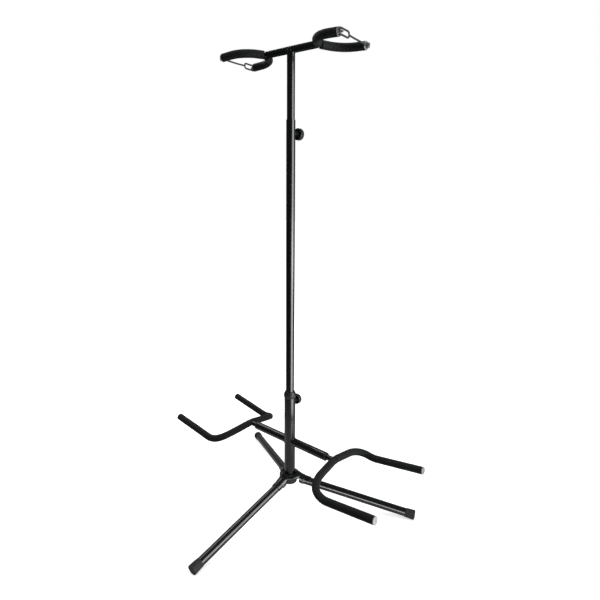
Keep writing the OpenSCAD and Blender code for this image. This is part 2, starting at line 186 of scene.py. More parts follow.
def join(name, parts):
    """One object made of several."""
    points, faces = [], []
    for part in parts:
        offset = len(points)
        points += [list(v.co) for v in part.data.vertices]
        faces += [[i + offset for i in p.vertices] for p in part.data.polygons]
        bpy.data.objects.remove(part)
    return mesh_object(name, points, faces)


def lathe(name, profile, place, around=96, shape=None):
    """Turned piece: profile lists (height, radius) points, and shape may move them at each angle."""
    height, radius = np.array(profile).T
    solid_start = radius[0] < 1e-7
    solid_end = radius[-1] < 1e-7
    closed = not (solid_start or solid_end)
    if closed:
        height, radius = height[:-1], radius[:-1]
    keep = slice(1 if solid_start else None, -1 if solid_end else None)
    angle = np.linspace(0, TAU, around, endpoint=False)
    h, a = np.meshgrid(height[keep], angle, indexing="ij")
    r = np.broadcast_to(radius[keep][:, None], h.shape).copy()
    if shape:
        h, r = shape(h, r, a)
    rings = np.stack([r * np.cos(a), r * np.sin(a), h], axis=-1)
    start = (0, 0, height[0]) if solid_start else None
    end = (0, 0, height[-1]) if solid_end else None
    return skin(name, rings, place, closed, start, end)


def turned(profile, rounding, step=1.0):
    """Profile in millimetres, rounded at its corners and given in metres; a closed one ends where it starts."""
    radii = rounding if isinstance(rounding, list) else [rounding] * len(profile)
    return rounded_line(np.array(profile, float), radii, step) * MM


def ripple(points, scale, seed):
    """Smooth noise from -1 to 1 at each point; scale is in waves per metre."""
    flat = points.reshape(-1, 3) * scale + seed
    return np.array([noise.noise(p) for p in flat.tolist()]).reshape(points.shape[:-1])


def smooth_step(low, high, value):
    t = np.clip((value - low) / (high - low), 0, 1)
    return t * t * (3 - 2 * t)


def axis_place(origin, axis, side):
    """Matrix that puts a lathe's axis along a direction at an origin."""
    axis = unit(np.array(axis, float))
    side = unit(np.array(side, float) - axis * (axis @ np.array(side, float)))
    other = np.cross(axis, side)
    matrix = np.eye(4)
    matrix[:3, 0], matrix[:3, 1], matrix[:3, 2], matrix[:3, 3] = side, other, axis, origin
    return matrix


def turn_about(axis, angle, centre=(0, 0, 0)):
    centre = Vector(centre)
    turn = Matrix.Rotation(angle, 4, axis)
    return np.array(Matrix.Translation(centre) @ turn @ Matrix.Translation(-centre))


def apply_modifiers(obj):
    """Writes an object's modifiers into its mesh."""
    graph = bpy.context.evaluated_depsgraph_get()
    made = bpy.data.meshes.new_from_object(obj.evaluated_get(graph))
    obj.modifiers.clear()
    obj.data = made
    made.shade_smooth()


def soften(obj, passes=4):
    smooth = obj.modifiers.new("soften", "SMOOTH")
    smooth.factor = 0.5
    smooth.iterations = passes
    bpy.context.view_layer.update()
    apply_modifiers(obj)


def fuse(obj, voxel):
    """Turns overlapping shells into one skin and softens its edges."""
    remesh = obj.modifiers.new("skin", "REMESH")
    remesh.mode = "VOXEL"
    remesh.voxel_size = voxel
    soften(obj)


# ---------- materials ----------
class Recipe:
    """A procedural material being put together from nodes."""

    def __init__(self, name):
        self.material = bpy.data.materials.new(name)
        self.material.use_nodes = True
        self.tree = self.material.node_tree
        self.shader = self.tree.nodes["Principled BSDF"]
        self.place = self.node("ShaderNodeTexCoord").outputs["Object"]

    def node(self, kind, inputs=None, **settings):
        made = self.tree.nodes.new(kind)
        for key, value in settings.items():
            setattr(made, key, value)
        for key, value in (inputs or {}).items():
            self.feed(made.inputs[key], value)
        return made

    def feed(self, socket, value):
        if isinstance(value, bpy.types.NodeSocket):
            self.tree.links.new(value, socket)
        else:
            socket.default_value = value

    def set(self, **values):
        for key, value in values.items():
            self.feed(self.shader.inputs[key.replace("_", " ")], value)

    def stretched(self, scale):
        return self.node("ShaderNodeMapping", {"Vector": self.place, "Scale": scale}).outputs["Vector"]

    def cloud(self, scale, detail=3.0, roughness=0.55, distortion=0.0, where=None):
        inputs = {"Vector": where or self.place, "Scale": scale, "Detail": detail, "Roughness": roughness,
                  "Distortion": distortion}
        return self.node("ShaderNodeTexNoise", inputs).outputs["Fac"]

    def cells(self, scale):
        inputs = {"Vector": self.place, "Scale": scale}
        return self.node("ShaderNodeTexVoronoi", inputs).outputs["Distance"]

    def spread(self, value, low, high, to_low=0.0, to_high=1.0):
        inputs = {"Value": value, "From Min": low, "From Max": high, "To Min": to_low, "To Max": to_high}
        return self.node("ShaderNodeMapRange", inputs).outputs["Result"]

    def math(self, operation, a, b=0.0):
        return self.node("ShaderNodeMath", {0: a, 1: b}, operation=operation).outputs[0]

    def blend(self, amount, a, b):
        made = self.node("ShaderNodeMix", data_type="RGBA")
        self.feed(made.inputs["Factor"], amount)
        self.feed(made.inputs[6], a)
        self.feed(made.inputs[7], b)
        return made.outputs[2]

    def relief(self, height, strength, distance, normal=None):
        inputs = {"Height": height, "Strength": strength, "Distance": distance}
        if normal is not None:
            inputs["Normal"] = normal
        return self.node("ShaderNodeBump", inputs).outputs["Normal"]

    def edges(self, radius):
        """1 on a sharp edge, 0 on a face or a gentle curve."""
        soft = self.node("ShaderNodeBevel", {"Radius": radius}, samples=6).outputs["Normal"]
        plain = self.node("ShaderNodeNewGeometry").outputs["Normal"]
        match = self.node("ShaderNodeVectorMath", {0: soft, 1: plain}, operation="DOT_PRODUCT")
        return self.spread(match.outputs["Value"], 0.995, 0.9)

    def facing_up(self):
        normal = self.node("ShaderNodeNewGeometry").outputs["Normal"]
        return self.node("ShaderNodeSeparateXYZ", {0: normal}).outputs["Z"]


def grey(value, tint=0.0):
    return (value * (1 - tint), value, value * (1 + tint), 1)


def black_steel():
    """Gloss black powder coat: faint orange peel, cloudy gloss, a little dust and rubbed edges."""
    m = Recipe("black_steel")
    clouds = m.cloud(30, 4)
    peel = m.cloud(420, 2, 0.5)
    specks = m.cloud(2600, 1)
    dust = m.math("MULTIPLY", m.spread(m.facing_up(), 0.3, 1.0), m.spread(m.cloud(160, 6, 0.7), 0.5, 0.78))
    worn = m.math("MULTIPLY", m.edges(0.5 * MM), m.spread(m.cloud(240, 4), 0.35, 0.7))
    scuffs = m.spread(m.cloud(220, 3, 0.6, 1.5, m.stretched((1, 1, 0.08))), 0.69, 0.74)
    paint = m.blend(clouds, grey(0.005, 0.12), grey(0.008, 0.12))
    dusty = m.blend(m.math("MULTIPLY", dust, 0.06), paint, grey(0.2))
    m.set(Base_Color=m.blend(m.math("MULTIPLY", worn, 0.3), dusty, grey(0.1)))
    gloss = m.spread(clouds, 0.3, 0.7, 0.2, 0.26)
    rough = m.math("ADD", gloss, m.math("MULTIPLY", dust, 0.12))
    rough = m.math("ADD", rough, m.math("MULTIPLY", scuffs, 0.08))
    m.set(Roughness=rough, Specular_IOR_Level=0.5, Coat_Weight=0.3, Coat_Roughness=0.14)
    skin_relief = m.relief(peel, 0.035, 0.12 * MM)
    m.set(Normal=m.relief(specks, 0.015, 0.05 * MM, skin_relief))
    return m.material


def black_plastic():
    """Moulded black plastic with a fine spark-eroded skin and paler rubbed edges."""
    m = Recipe("black_plastic")
    clouds = m.cloud(60, 3)
    grain = m.cloud(2200, 2, 0.6)
    worn = m.math("MULTIPLY", m.edges(0.6 * MM), m.cloud(300, 4))
    body = m.blend(clouds, grey(0.01, 0.05), grey(0.017, 0.05))
    m.set(Base_Color=m.blend(m.math("MULTIPLY", worn, 0.4), body, grey(0.08)))
    m.set(Roughness=m.spread(grain, 0.3, 0.7, 0.38, 0.52), Specular_IOR_Level=0.5)
    m.set(Normal=m.relief(grain, 0.25, 0.06 * MM))
    return m.material


def grey_plastic():
    """Pale grey moulded caps, slightly grubby and lightly marked."""
    m = Recipe("grey_plastic")
    clouds = m.cloud(90, 4)
    grain = m.cloud(1800, 2, 0.6)
    grime = m.spread(m.cloud(260, 6, 0.7), 0.5, 0.8)
    body = m.blend(clouds, grey(0.24, 0.03), grey(0.3, 0.03))
    m.set(Base_Color=m.blend(m.math("MULTIPLY", grime, 0.3), body, (0.14, 0.13, 0.12, 1)))
    m.set(Roughness=m.spread(grain, 0.3, 0.7, 0.36, 0.5), Specular_IOR_Level=0.45)
    m.set(Subsurface_Weight=0.06, Subsurface_Radius=(0.6 * MM, 0.6 * MM, 0.6 * MM))
    m.set(Normal=m.relief(grain, 0.2, 0.05 * MM))
    return m.material


def foam():
    """Closed-cell foam: matt, with fine cells, pressed streaks and dust caught in the skin, and painted shade
    darkening small pits.
    """
    m = Recipe("foam")
    clouds = m.cloud(45, 5, 0.6)
    cells = m.cells(1500)
    # painted shade: small spots at the cell centres are darkened as if they were shaded pits
    pit_shade = m.spread(m.cells(700), 0.0, 0.22)
    fine = m.cloud(2400, 3, 0.7)
    body = m.blend(m.spread(clouds, 0.3, 0.7), grey(0.005, 0.1), grey(0.009, 0.1))
    dust = m.math("MULTIPLY", m.spread(m.facing_up(), 0.1, 1.0), m.spread(m.cloud(500, 6, 0.75), 0.4, 0.75))
    lit = m.blend(m.math("MULTIPLY", dust, 0.05), body, grey(0.2))
    m.set(Base_Color=m.blend(m.math("MULTIPLY", m.math("SUBTRACT", 1.0, pit_shade), 0.5), lit, grey(0.003)))
    m.set(Roughness=m.spread(clouds, 0.3, 0.7, 0.62, 0.78), Specular_IOR_Level=0.14)
    m.set(Sheen_Weight=0.03, Sheen_Roughness=0.6)
    cell_relief = m.relief(cells, 0.55, 0.16 * MM)
    m.set(Normal=m.relief(fine, 0.3, 0.08 * MM, cell_relief))
    return m.material


def foot_rubber():
    """Dark ribbed rubber, scuffed and dusty towards the floor."""
    m = Recipe("foot_rubber")
    clouds = m.cloud(120, 5, 0.65)
    fine = m.cloud(1700, 3, 0.65)
    height = m.node("ShaderNodeSeparateXYZ", {0: m.place}).outputs["Z"]
    low = m.spread(height, 0.0, 9 * MM, 1.0, 0.0)
    dust = m.math("MULTIPLY", low, m.spread(clouds, 0.35, 0.7))
    body = m.blend(clouds, grey(0.014), grey(0.024))
    m.set(Base_Color=m.blend(m.math("MULTIPLY", dust, 0.3), body, grey(0.12)))
    m.set(Roughness=m.spread(clouds, 0.3, 0.7, 0.5, 0.68), Specular_IOR_Level=0.4)
    m.set(Normal=m.relief(fine, 0.35, 0.08 * MM))
    return m.material


def strap_rubber():
    """Smooth silky rubber with a dull bloom."""
    m = Recipe("strap_rubber")
    clouds = m.cloud(150, 4, 0.6)
    fine = m.cloud(2000, 2, 0.6)
    body = m.blend(clouds, grey(0.018, 0.05), grey(0.034, 0.05))
    m.set(Base_Color=body, Roughness=m.spread(clouds, 0.3, 0.7, 0.42, 0.58), Specular_IOR_Level=0.4)
    m.set(Sheen_Weight=0.1, Normal=m.relief(fine, 0.2, 0.05 * MM))
    return m.material


def zinc_steel():
    """Bright zinc plate, brushed round the shank and slightly tarnished."""
    m = Recipe("zinc_steel")
    clouds = m.cloud(300, 5, 0.6)
    brushed = m.cloud(900, 3, 0.7, 0, m.stretched((1, 0.15, 1)))
    m.set(Base_Color=m.blend(clouds, (0.5, 0.5, 0.52, 1), (0.72, 0.71, 0.68, 1)), Metallic=1.0)
    m.set(Roughness=m.spread(brushed, 0.3, 0.7, 0.22, 0.42), Normal=m.relief(brushed, 0.15, 0.04 * MM))
    return m.material


def weld_steel():
    """Weld metal under the black coat: glossier and lumpier than the tube."""
    m = Recipe("weld_steel")
    lumps = m.cloud(700, 3)
    m.set(Base_Color=m.blend(lumps, grey(0.007, 0.04), grey(0.014, 0.04)))
    m.set(Roughness=m.spread(lumps, 0.3, 0.7, 0.22, 0.34), Coat_Weight=0.3, Coat_Roughness=0.15)
    m.set(Normal=m.relief(lumps, 0.3, 0.15 * MM))
    return m.material


MATERIALS = {recipe.__name__: recipe() for recipe in (
    black_steel, black_plastic, grey_plastic, foam, foot_rubber, strap_rubber, zinc_steel)}
WELD = weld_steel()


def finish_piece(obj, slot, body, *nodes, look=None):
    """Gives a new piece its material and body, and hides the CAD nodes that it stands for."""
    obj.data.materials.clear()
    obj.data.materials.append(look or MATERIALS[slot])
    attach(obj, body)
    if nodes:
        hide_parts(*nodes)


NODE_SLOTS = {"middle_guide": "black_plastic", "upper_guide": "black_plastic"}


def dress_cad_nodes():
    """Every CAD node that stays visible takes the full material of its slot."""
    for name, obj in frame["nodes"].items():
        slot = NODE_SLOTS.get(name, "black_steel")
        obj.data.materials.clear()
        obj.data.materials.append(MATERIALS[slot])


# ---------- base ----------
def collar():
    """Plastic ring on the base tube that carries the middle tube."""
    low, high = low_high("collar_bush")
    outer = high[0] / MM
    bore = MIDDLE_R / MM + 0.05
    spigot = BASE_R / MM - 1.5
    foot = (low[2] - BASE_TOP) / MM
    top = (high[2] - BASE_TOP) / MM
    tube = BASE_R / MM
    profile = turned([(foot, (bore + spigot) / 2), (foot, spigot), (0, spigot), (0, tube), (-8, tube),
                      (-8, tube + 0.5), (-1, outer), (1.5, outer), (3.8, outer - 1.1), (top, bore + 1.7),
                      (top, bore), (foot, bore), (foot, (bore + spigot) / 2)],
                     [0, 0.4, 0.05, 0.05, 0.05, 0.3, 1.6, 1.2, 4, 0.7, 0.3, 0.3, 0], 0.6)
    piece = lathe("collar_ring", profile, axis_place((0, 0, BASE_TOP), (0, 0, 1), (1, 0, 0)), 128)
    finish_piece(piece, "black_plastic", "base", "collar_bush")


def cradle_bush(side_name):
    low, high = low_high("cradle_bush_right")
    start, end = low[0] / MM, high[0] / MM
    lip = ARM_END / MM
    outer, bore = ARM_R / MM, PLUG_R / MM + 0.05
    spigot = outer - 1.5
    profile = turned([(start, (bore + spigot) / 2), (start, spigot), (lip, spigot), (lip + 0.15, outer - 0.5),
                      (lip + 0.5, outer), (end, outer), (end, bore), (start, bore),
                      (start, (bore + spigot) / 2)],
                     [0, 0.4, 0.05, 0.2, 0.3, 1.4, 0.7, 0.3, 0])
    place = turn_about("Z", SIDES[side_name]) @ axis_place((0, 0, ARM_HEIGHT), (1, 0, 0), (0, 1, 0))
    piece = lathe(f"cradle_bush_{side_name}_ring", profile, place, 96)
    finish_piece(piece, "black_plastic", "base", f"cradle_bush_{side_name}")


def hub_core():
    """Plastic core under the pressed hub, with a chamfered edge and a recessed underside."""
    radius, bore = core_high[0] / MM, BASE_R / MM + 0.1
    bottom, top = core_low[2] / MM, core_high[2] / MM
    seat = bottom + 4.2
    profile = turned([(bottom + 1.2, 0), (bottom + 1.2, radius - 6), (bottom, radius - 4.6),
                      (bottom, radius - 1.6), (bottom + 1.6, radius), (top, radius), (top, bore),
                      (seat, bore), (seat, 0)],
                     [0, 1.0, 0.6, 1.2, 1.2, 0.4, 0.3, 0.2, 0])
    piece = lathe("hub_core_moulding", profile, axis_place((0, 0, 0), (0, 0, 1), (1, 0, 0)), 128)
    finish_piece(piece, "black_plastic", "base", "hub_core")


def smooth_min(a, b, blend):
    """Smaller of two distances, with the corner between them filled over the blend width."""
    h = np.clip(0.5 + 0.5 * (b - a) / blend, 0, 1)
    return b + (a - b) * h - blend * h * (1 - h)


def upright(grid, radius, low, high, edge=0.0):
    """Distance to an upright disc whose edges are rounded."""
    x, y, z = grid
    out = np.hypot(x, y) - radius + edge
    up = np.abs(z - (low + high) / 2) - (high - low) / 2 + edge
    return np.minimum(np.maximum(out, up), 0) + np.hypot(np.maximum(out, 0), np.maximum(up, 0)) - edge


def channel(local, radius, drop, start, end):
    """Distance to a round-topped channel block that reaches drop below its axis."""
    x, y, z = local
    section = np.where(z >= 0, np.hypot(y, z) - radius, np.maximum(np.abs(y) - radius, -z - drop))
    return np.maximum(section, np.abs(x - (start + end) / 2) - (end - start) / 2)


def in_leg(grid, angle, extra=0.0, shift=0.0):
    """Grid coordinates seen from a leg's rivet, with the leg's axis along X."""
    turn, slope = math.radians(angle), LEG_SLOPE
    x, y, z = grid
    out = x * math.cos(turn) + y * math.sin(turn) - RIVET_RADIUS / MM
    across = y * math.cos(turn) - x * math.sin(turn)
    up = z - RIVET_HEIGHT / MM
    along = out * math.cos(slope) - up * math.sin(slope) - shift
    rise = out * math.sin(slope) + up * math.cos(slope)
    return (along * math.cos(extra) - rise * math.sin(extra), across,
            along * math.sin(extra) + rise * math.cos(extra))


def surface_of(name, values, low, spacing):
    """Object on the zero level of a grid of distances: one point in each cell the surface crosses."""
    shape = np.array(values.shape) - 1
    corners = [(i, j, k) for i in (0, 1) for j in (0, 1) for k in (0, 1)]
    total, count = np.zeros((*shape, 3)), np.zeros(shape)

    def corner(i, j, k):
        return values[i:i + shape[0], j:j + shape[1], k:k + shape[2]]

    for start in corners:
        for axis in range(3):
            if start[axis]:
                continue
            stop = list(start)
            stop[axis] = 1
            a, b = corner(*start), corner(*stop)
            crossed = (a < 0) != (b < 0)
            at = np.where(crossed, a / np.where(crossed, a - b, 1), 0)
            for k in range(3):
                total[..., k] += crossed * (start[k] + (at if k == axis else 0))
            count += crossed
    used = count > 0
    number = np.full(shape, -1)
    number[used] = np.arange(used.sum())
    points = (np.argwhere(used) + total[used] / count[used][:, None]) * spacing + low
    faces = []
    for axis in range(3):
        one, two = [k for k in range(3) if k != axis]
        inner = [slice(1, -1)] * 3
        inner[axis] = slice(0, -1)
        ahead = [slice(1, -1)] * 3
        ahead[axis] = slice(1, None)
        edge = np.argwhere((values[tuple(inner)] < 0) != (values[tuple(ahead)] < 0))
        edge += [0 if k == axis else 1 for k in range(3)]
        ring = []
        for da, db in ((0, 0), (1, 0), (1, 1), (0, 1)):
            cell = edge.copy()
            cell[:, one] -= da
            cell[:, two] -= db
            ring.append(number[tuple(cell.T)])
        faces += np.stack(ring, axis=1).tolist()
    return mesh_object(name, (points * MM).tolist(), faces)


def hub():
    """The pressed three-armed hub, with its channels flowing into the centre and its edges rolled over."""
    spacing = 0.7
    low, high = np.array([-64.0, -66.0, 50.0]), np.array([66.0, 48.0, 100.0])
    counts = np.ceil((high - low) / spacing).astype(int)
    grid = np.meshgrid(*[low[k] + spacing * np.arange(counts[k]) for k in range(3)], indexing="ij")
    plate_r, cup_r, clearing_r = 28.6, 26.0, 33.0
    sheet, rolled_edge, ear_drop = 2.0, 3.0, 3.0
    arm_fillet, plate_fillet = 5.0, 7.0
    inner_r = LEG_R + 0.3
    outer_r = inner_r + sheet
    top = HUB_PLATE_TOP / MM
    rim = top - 6.5
    root_slope = math.radians(20)
    blank = upright(grid, plate_r, rim, top, rolled_edge)
    hollow = np.minimum(upright(grid, cup_r, 40, top - sheet), upright(grid, clearing_r, 0, rim))
    for angle in LEG_ANGLES.values():
        arm = channel(in_leg(grid, angle), outer_r, ear_drop, -12, 20)
        root = channel(in_leg(grid, angle, root_slope, -4), outer_r, ear_drop, -26, 0)
        blank = smooth_min(blank, smooth_min(arm, root, arm_fillet), plate_fillet)
        hollow = np.minimum(hollow, channel(in_leg(grid, angle), inner_r, 90, -20, 90))
    hollow = np.minimum(hollow, upright(grid, BASE_R / MM, 0, 200))
    piece = surface_of("hub_pressing", np.maximum(blank, -hollow), low, spacing)
    soften(piece)
    finish_piece(piece, "black_steel", "base", "hub_spider")


# ---------- welds ----------
def bead(points, width, outward, seed):
    """Weld bead along a closed line; outward gives the direction away from the joint at each point."""
    points = np.array(points)
    count = len(points)
    ahead = np.roll(points, -1, axis=0) - np.roll(points, 1, axis=0)
    ahead /= np.linalg.norm(ahead, axis=1)[:, None]
    out = np.array(outward) - ahead * np.sum(np.array(outward) * ahead, axis=1)[:, None]
    out /= np.linalg.norm(out, axis=1)[:, None]
    side = np.cross(ahead, out)
    along = arc_lengths(np.vstack([points, points[:1]]))
    waves = max(6, round(along[-1] / (1.9 * MM)))
    phase = along[:-1] / along[-1] * waves
    scallop = 1 + 0.14 * np.abs(np.sin(math.pi * phase)) - 0.07
    scallop += 0.12 * ripple(points, 260, seed)
    angle = np.linspace(0, TAU, 14, endpoint=False)
    radius = (width * scallop)[:, None, None]
    rings = points[:, None] + radius * (np.cos(angle)[None, :, None] * side[:, None]
                                        + 0.72 * np.sin(angle)[None, :, None] * out[:, None])
    return skin("bead", rings[:count], closed=True)


def crossing(bar_r, post_r, height, side, count=220):
    """Line where a level bar meets an upright tube, and the direction away from the joint along it."""
    turn = np.linspace(0, TAU, count, endpoint=False)
    y = bar_r * np.sin(turn)
    z = bar_r * np.cos(turn)
    x = side * np.sqrt(np.maximum(post_r ** 2 - y ** 2, (0.15 * post_r) ** 2))
    points = np.stack([x, y, z + height], axis=1)
    outward = np.stack([side * np.full(count, 0.6), np.sin(turn) + y / post_r * 0.6, np.cos(turn)], axis=1)
    return points, outward


def base_welds():
    beads = []
    for number, side in enumerate((1, -1)):
        points, outward = crossing(ARM_R + 0.2 * MM, BASE_R + 0.2 * MM, ARM_HEIGHT, side)
        beads.append(bead(points, 1.5 * MM, outward, number * 7.1))
    turn = np.linspace(0, TAU, 240, endpoint=False)
    ring = np.stack([np.cos(turn), np.sin(turn), np.zeros_like(turn)], axis=1)
    post_ring = ring * (BASE_R + 0.3 * MM) + (0, 0, HUB_PLATE_TOP + 0.1 * MM)
    beads.append(bead(post_ring, 1.3 * MM, ring + (0, 0, 0.8), 3.3))
    piece = join("base_welds", beads)
    finish_piece(piece, "black_steel", "base", look=WELD)


def nut_weld(name, node, tube_r, body, seed):
    low, high = low_high(node)
    height = (low[2] + high[2]) / 2
    points, outward = crossing((high[0] - low[0]) / 2 + 0.1 * MM, tube_r + 0.1 * MM, 0, 1)
    quarter = turn_about("Z", math.pi / 2)[:3, :3]
    points = points @ quarter.T + (0, 0, height)
    piece = bead(points, 0.9 * MM, outward @ quarter.T, seed)
    piece.name = name
    finish_piece(piece, "black_steel", body, look=WELD)


def upper_welds():
    """Beads where the upper tube meets the top crossbar and where each yoke's rod meets it."""
    beads = []
    turn = np.linspace(0, TAU, 220, endpoint=False)
    across = UPPER_R * np.sin(turn)
    under = -np.sqrt(np.maximum(TOP_BAR_R ** 2 - across ** 2, (0.2 * TOP_BAR_R) ** 2))
    saddle = np.stack([UPPER_R * np.cos(turn), across, YOKE_HEIGHT + under], axis=1)
    out = np.stack([np.cos(turn), np.sin(turn), np.full_like(turn, -0.7)], axis=1)
    matrix = turn_about("Z", UPPER_TURN)
    beads.append(bead(saddle @ matrix[:3, :3].T, 1.1 * MM, out @ matrix[:3, :3].T, 5.2))
    start = YOKE_START - YOKE_ROD_R * MM
    for number, side in enumerate(SIDES.values()):
        y, z = TOP_BAR_R * 0.93 * np.sin(turn), TOP_BAR_R * 0.93 * np.cos(turn)
        ring = np.stack([np.full_like(turn, start), y, z + YOKE_HEIGHT], axis=1)
        out = np.stack([np.full_like(turn, 0.6), np.sin(turn), np.cos(turn)], axis=1)
        matrix = turn_about("Z", UPPER_TURN + side)
        beads.append(bead(ring @ matrix[:3, :3].T, 0.9 * MM, out @ matrix[:3, :3].T, 6.4 + number))
    piece = join("upper_welds", beads)
    finish_piece(piece, "black_steel", "upper", look=WELD)


# ---------- feet ----------
FOOT_LENGTH = 26.0
FOOT_NECK_R = 11.6
FOOT_END_R = 12.8
LEG_R = 11.0


def foot(name, angle):
    """Rubber foot: a ribbed, tapered sleeve over the leg's end, flat where it stands."""
    length = math.hypot(FOOT_RADIUS - RIVET_RADIUS, RIVET_HEIGHT - FOOT_HEIGHT) / MM
    start, neck, end = length - FOOT_LENGTH, FOOT_NECK_R, FOOT_END_R
    bore, mouth = LEG_R + 0.02, (neck + LEG_R) / 2
    profile = turned([(start, mouth), (start, neck - 0.1), (start + 0.5, neck), (start + 2.6, neck + 0.15),
                      (start + 3.0, neck - 0.15), (start + 3.6, neck + 0.05), (length - 1.2, end),
                      (length, end - 0.5), (length, end - 4.5), (length - 0.8, end - 5.5), (length - 0.8, 0)],
                     [0, 0.2, 0.3, 0.3, 0.2, 0.4, 0.8, 0.6, 0.6, 0.6, 0], 0.7)
    inner = turned([(length - 4, 0), (length - 4, bore), (start, bore), (start, mouth)], [0, 0.3, 0.2, 0], 3)
    loop = np.vstack([inner, profile[1:]])

    def ribbed(h, r, a):
        where = h / MM
        zone = smooth_step(start + 4, start + 6, where) * (1 - smooth_step(length - 3.4, length - 1.8, where))
        outside = r > (neck - 0.4) * MM
        return h, r + outside * zone * 0.2 * MM * np.cos(28 * a)

    direction = (math.cos(LEG_SLOPE), 0, -math.sin(LEG_SLOPE))
    along_leg = axis_place((RIVET_RADIUS, 0, RIVET_HEIGHT), direction, (0, 1, 0))
    place = turn_about("Z", math.radians(angle)) @ along_leg
    piece = lathe(f"{name}_foot_rubber", loop, place, 256, ribbed)
    for vertex in piece.data.vertices:
        vertex.co.z = max(vertex.co.z, 0.0)
    finish_piece(piece, "foot_rubber", f"leg_{name}", f"leg_{name}_foot")


# ---------- foam sleeves ----------
def sleeve(name, corners, bends, gap, notch, bore, outer, place, seed):
    """Foam sleeve on one half of a bent rod; notch gives the radius, drop and reach of the bar's cut-out."""
    half = np.array(corners) * MM
    mirrored = [c * (1, -1, 1) for c in half[:0:-1]]
    line = rounded_line(mirrored + list(half), [b * MM for b in bends[:0:-1] + bends], 0.5 * MM)
    line = line[line[:, 1] >= gap * MM]
    along = arc_lengths(line)
    side_a, side_b = side_vectors(line, (-1, 0, 0))
    total = along[-1]
    bore_r, outer_r = bore * MM, outer * MM
    around = 72
    angle = np.linspace(0, TAU, around, endpoint=False)
    toward_post = np.cos(angle)
    rise = np.sin(angle) * outer_r * (1 if side_b[0][2] > 0 else -1)
    notch_r, notch_drop, notch_reach = (v * MM for v in notch)
    bite = np.sqrt(np.maximum(notch_r ** 2 - (rise + notch_drop) ** 2, 0)) - gap * MM
    start = np.maximum(bite, 0) * smooth_step(notch_reach, notch_reach + 2.5 * MM, toward_post * outer_r)

    def ring(s, radius):
        """Points of one ring, s along the rod and radius at each angle."""
        at = s + start * np.clip(1 - s / (30 * MM), 0, 1)
        pick = lambda values: np.stack([np.interp(at, along, values[:, k]) for k in range(3)], axis=1)
        a, b = pick(side_a), pick(side_b)
        return pick(line) + radius[:, None] * (np.cos(angle)[:, None] * a + np.sin(angle)[:, None] * b)

    full = np.full(around, outer_r)
    rings = np.array([ring(s, full) for s in np.linspace(0, total, round(total / (0.9 * MM)))])
    heading = np.gradient(line, along, axis=0)
    curl = np.gradient(heading, along, axis=0)
    s_values = np.linspace(0, total, len(rings))
    curl_at = np.stack([np.interp(s_values, along, curl[:, k]) for k in range(3)], axis=1)
    kernel = np.ones(9) / 9
    padded = np.pad(curl_at, ((4, 4), (0, 0)), "edge")
    curl_at = np.stack([np.convolve(padded[:, k], kernel, "valid") for k in range(3)], axis=1)
    centre = rings.mean(axis=1, keepdims=True)
    outwards = rings - centre
    outwards /= np.linalg.norm(outwards, axis=2, keepdims=True)
    squeeze = np.clip(np.sum(outwards * curl_at[:, None], axis=2) * outer_r * 3.2, -1, 1)
    waves = np.sin(s_values / (5.2 * MM) * TAU + 3 * ripple(centre[:, 0], 60, seed))[:, None]
    relief = 0.16 * MM * ripple(rings, 38, seed) + 0.07 * MM * ripple(rings, 210, seed + 5)
    relief += np.clip(squeeze, 0, 1) * (0.25 * MM + 0.1 * MM * waves) - np.clip(-squeeze, 0, 1) * 0.18 * MM
    end = np.minimum(s_values, total - s_values)
    relief -= 0.7 * MM * np.clip(1 - end / (0.9 * MM), 0, 1)[:, None] ** 2
    rings += outwards * relief[:, :, None]
    lip = outer_r - 1.6 * MM
    inner_r = bore_r + 0.05 * MM
    face_radii = [inner_r, (bore_r + lip) / 2, lip]
    first = [ring(0.0, np.full(around, r)) for r in face_radii]
    last = [ring(total, np.full(around, r)) for r in face_radii[::-1]]
    inner = [ring(s, np.full(around, inner_r)) for s in np.linspace(total, 0, 40)[1:-1]]
    return skin(name, np.array(first + list(rings) + last + inner), place, closed=True)


CRADLE_HALF = [(152.3, 0, 189), (157.1, 77.5, 178.3), (171.8, 108.7, 167.0), (201.7, 113.1, 158.4),
               (342.3, 117.4, 179.8)]
CRADLE_BENDS = [95, 72, 36, 50, 0]
CRADLE_ROLL = {"right": 0.0, "left": math.radians(4.2)}
CRADLE_ROD_R = 5.0
CRADLE_FOAM_R = 9.7
YOKE_HALF_WIDTH = 55.5
YOKE_TIP = 162.8
YOKE_HALF = [(76.4, 0, 1176), (101.1, YOKE_HALF_WIDTH, 1176), (YOKE_TIP, YOKE_HALF_WIDTH, 1176)]
YOKE_BENDS = [18, 60, 0]
YOKE_ROD_R = 4.5
YOKE_FOAM_R = 9.2
FLIP_Y = np.diag([1.0, -1.0, 1.0, 1.0])
CAP_GAP = 0.05
CAP_LENGTH = 1.5
CAP_BORE_R = 5.0
HINGE_BOSS = 0.5


def cradle_place(side_name):
    """Where a cradle's pieces go: on its side of the post and turned on its plug."""
    roll = turn_about("X", CRADLE_ROLL[side_name], (0, 0, ARM_HEIGHT))
    return turn_about("Z", SIDES[side_name]) @ roll


def yoke_place(side):
    """Where a yoke's pieces go: turned with the upper section, and sloping down to the tips."""
    droop = turn_about("Y", YOKE_DROOP, (YOKE_START, 0, YOKE_HEIGHT))
    return turn_about("Z", UPPER_TURN + side) @ droop


